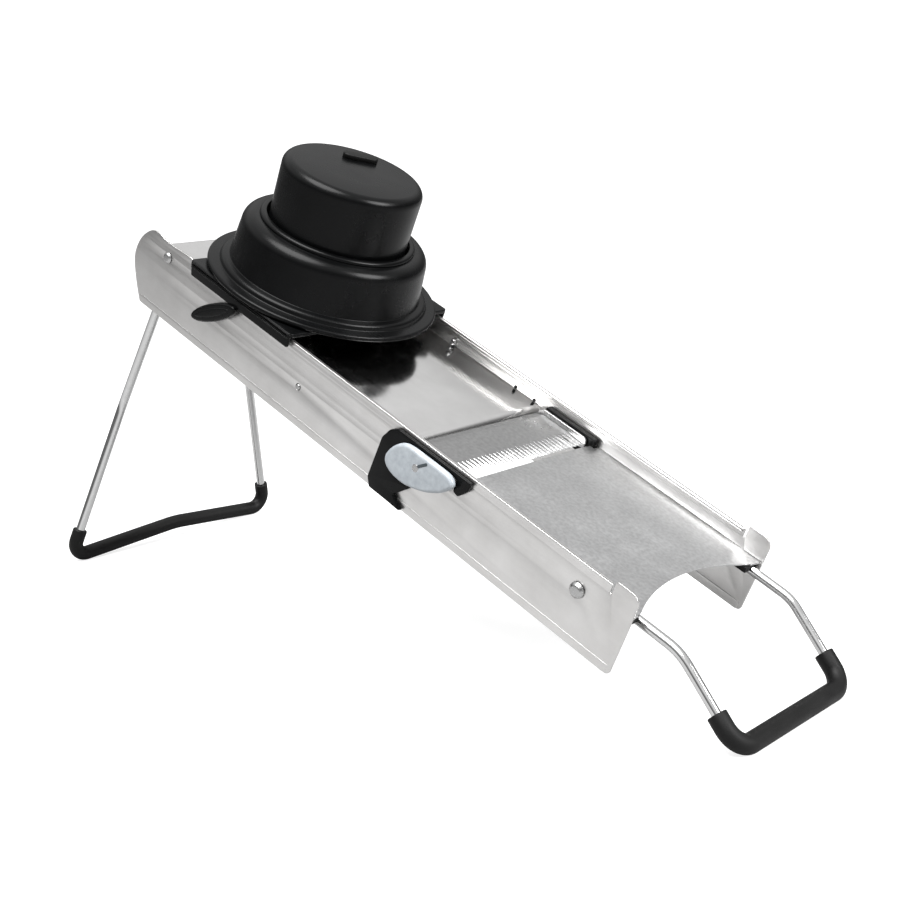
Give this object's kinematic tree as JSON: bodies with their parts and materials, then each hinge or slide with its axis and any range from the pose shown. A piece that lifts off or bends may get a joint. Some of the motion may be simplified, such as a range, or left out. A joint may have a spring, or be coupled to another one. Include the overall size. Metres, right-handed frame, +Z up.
{
  "type": "mandoline slicer",
  "caption": "Stainless mandoline slicer standing on a folding wire leg and handle, with a tilting feed plate, a reversible serrated blade and a sliding round food guard with a pusher.",
  "frame": {"origin": "table level, under the middle of the slicer's overall box", "axes": "+X from the raised rear end towards the low front end and its handle, +Y across towards the side without knobs, +Z up"},
  "size_m": [0.5074, 0.1768, 0.2808],
  "materials": {
    "sheet_steel": "stainless sheet, brushed along its length, satin",
    "blade_steel": "ground blade steel with bright ground flutes",
    "bright_wire": "polished round stainless wire",
    "fastener_steel": "polished pins, rods and rivets",
    "black_plastic": "satin black moulding with a fine texture",
    "black_rubber": "matt black rubber sleeve",
    "pale_blue_plastic": "pale blue-grey moulding, slightly glossy",
    "nylon": "natural nylon, matt"
  },
  "bodies": {
    "frame": {"side_panel_near": "sheet_steel", "side_panel_far": "sheet_steel", "runout_deck": "sheet_steel", "leg_stop_rod": "fastener_steel", "cross_tie": "fastener_steel", "feed_hinge_pin_near": "fastener_steel", "feed_hinge_pin_far": "fastener_steel", "feed_plate_stop_near": "fastener_steel", "feed_plate_stop_far": "fastener_steel", "leg_hinge_block_near": "black_plastic", "leg_hinge_block_far": "black_plastic", "handle_stop_pad_near": "black_rubber", "handle_stop_pad_far": "black_rubber", "shaft_bush_near": "black_plastic", "shaft_bush_far": "black_plastic", "blade_bearing_near": "black_plastic", "blade_bearing_far": "black_plastic", "blade_housing": "black_plastic"},
    "feed_plate": {"feed_plate": "sheet_steel"},
    "thickness_control": {"thickness_shaft": "fastener_steel", "thickness_knob": "black_plastic", "thickness_cam_near": "nylon", "thickness_cam_far": "nylon", "shaft_clip": "fastener_steel"},
    "blade_rotor": {"blade": "blade_steel", "blade_cheek_near": "fastener_steel", "blade_cheek_far": "fastener_steel", "blade_knob": "pale_blue_plastic", "blade_knob_screw": "fastener_steel"},
    "rear_leg": {"leg_wire": "bright_wire", "leg_sleeve": "black_rubber"},
    "front_handle": {"handle_wire": "bright_wire", "handle_grip": "black_rubber", "handle_cap_near": "fastener_steel", "handle_cap_far": "fastener_steel"},
    "food_guard": {"guard_base": "black_plastic", "guard_glide_near": "nylon", "guard_glide_far": "nylon", "guard_housing": "black_plastic", "guard_collar": "black_plastic"},
    "pusher": {"pusher_cap": "black_plastic", "pin_plate": "black_plastic", "pusher_screw": "fastener_steel", "pusher_seal": "black_rubber", "pusher_tab": "black_plastic", "food_pin_1": "fastener_steel", "food_pin_2": "fastener_steel", "food_pin_3": "fastener_steel", "food_pin_4": "fastener_steel", "food_pin_5": "fastener_steel", "food_pin_6": "fastener_steel", "food_pin_7": "fastener_steel", "food_pin_8": "fastener_steel"}
  },
  "joints": [
    {"name": "feed_plate_tilt", "type": "hinge", "parent": "frame", "child": "feed_plate", "pos_m": [-0.16017, 0, 0.21157], "axis": [0, 1, 0], "range_deg": [0, 1.4]},
    {"name": "thickness_turn", "type": "hinge", "parent": "frame", "child": "thickness_control", "pos_m": [-0.11833, 0, 0.18073], "axis": [0, 1, 0], "range_deg": [0, 70]},
    {"name": "blade_turn", "type": "hinge", "parent": "frame", "child": "blade_rotor", "pos_m": [0.05435, 0, 0.11609], "axis": [0, 1, 0], "range_deg": [0, 180]},
    {"name": "leg_fold", "type": "hinge", "parent": "frame", "child": "rear_leg", "pos_m": [-0.17203, 0, 0.19616], "axis": [0, -1, 0], "range_deg": [0, 80]},
    {"name": "handle_fold", "type": "hinge", "parent": "frame", "child": "front_handle", "pos_m": [0.15786, 0, 0.06877], "axis": [0, 1, 0], "range_deg": [0, 150]},
    {"name": "guard_slide", "type": "slide", "parent": "frame", "child": "food_guard", "axis": [0.9225, 0, -0.3859], "range_m": [0, 0.245]},
    {"name": "pusher_press", "type": "slide", "parent": "food_guard", "child": "pusher", "axis": [-0.3859, 0, -0.9225], "range_m": [0, 0.036]}
  ],
  "couplings": [
    {"joint": "thickness_turn", "follows": "feed_plate_tilt", "ratio": 50}
  ]
}
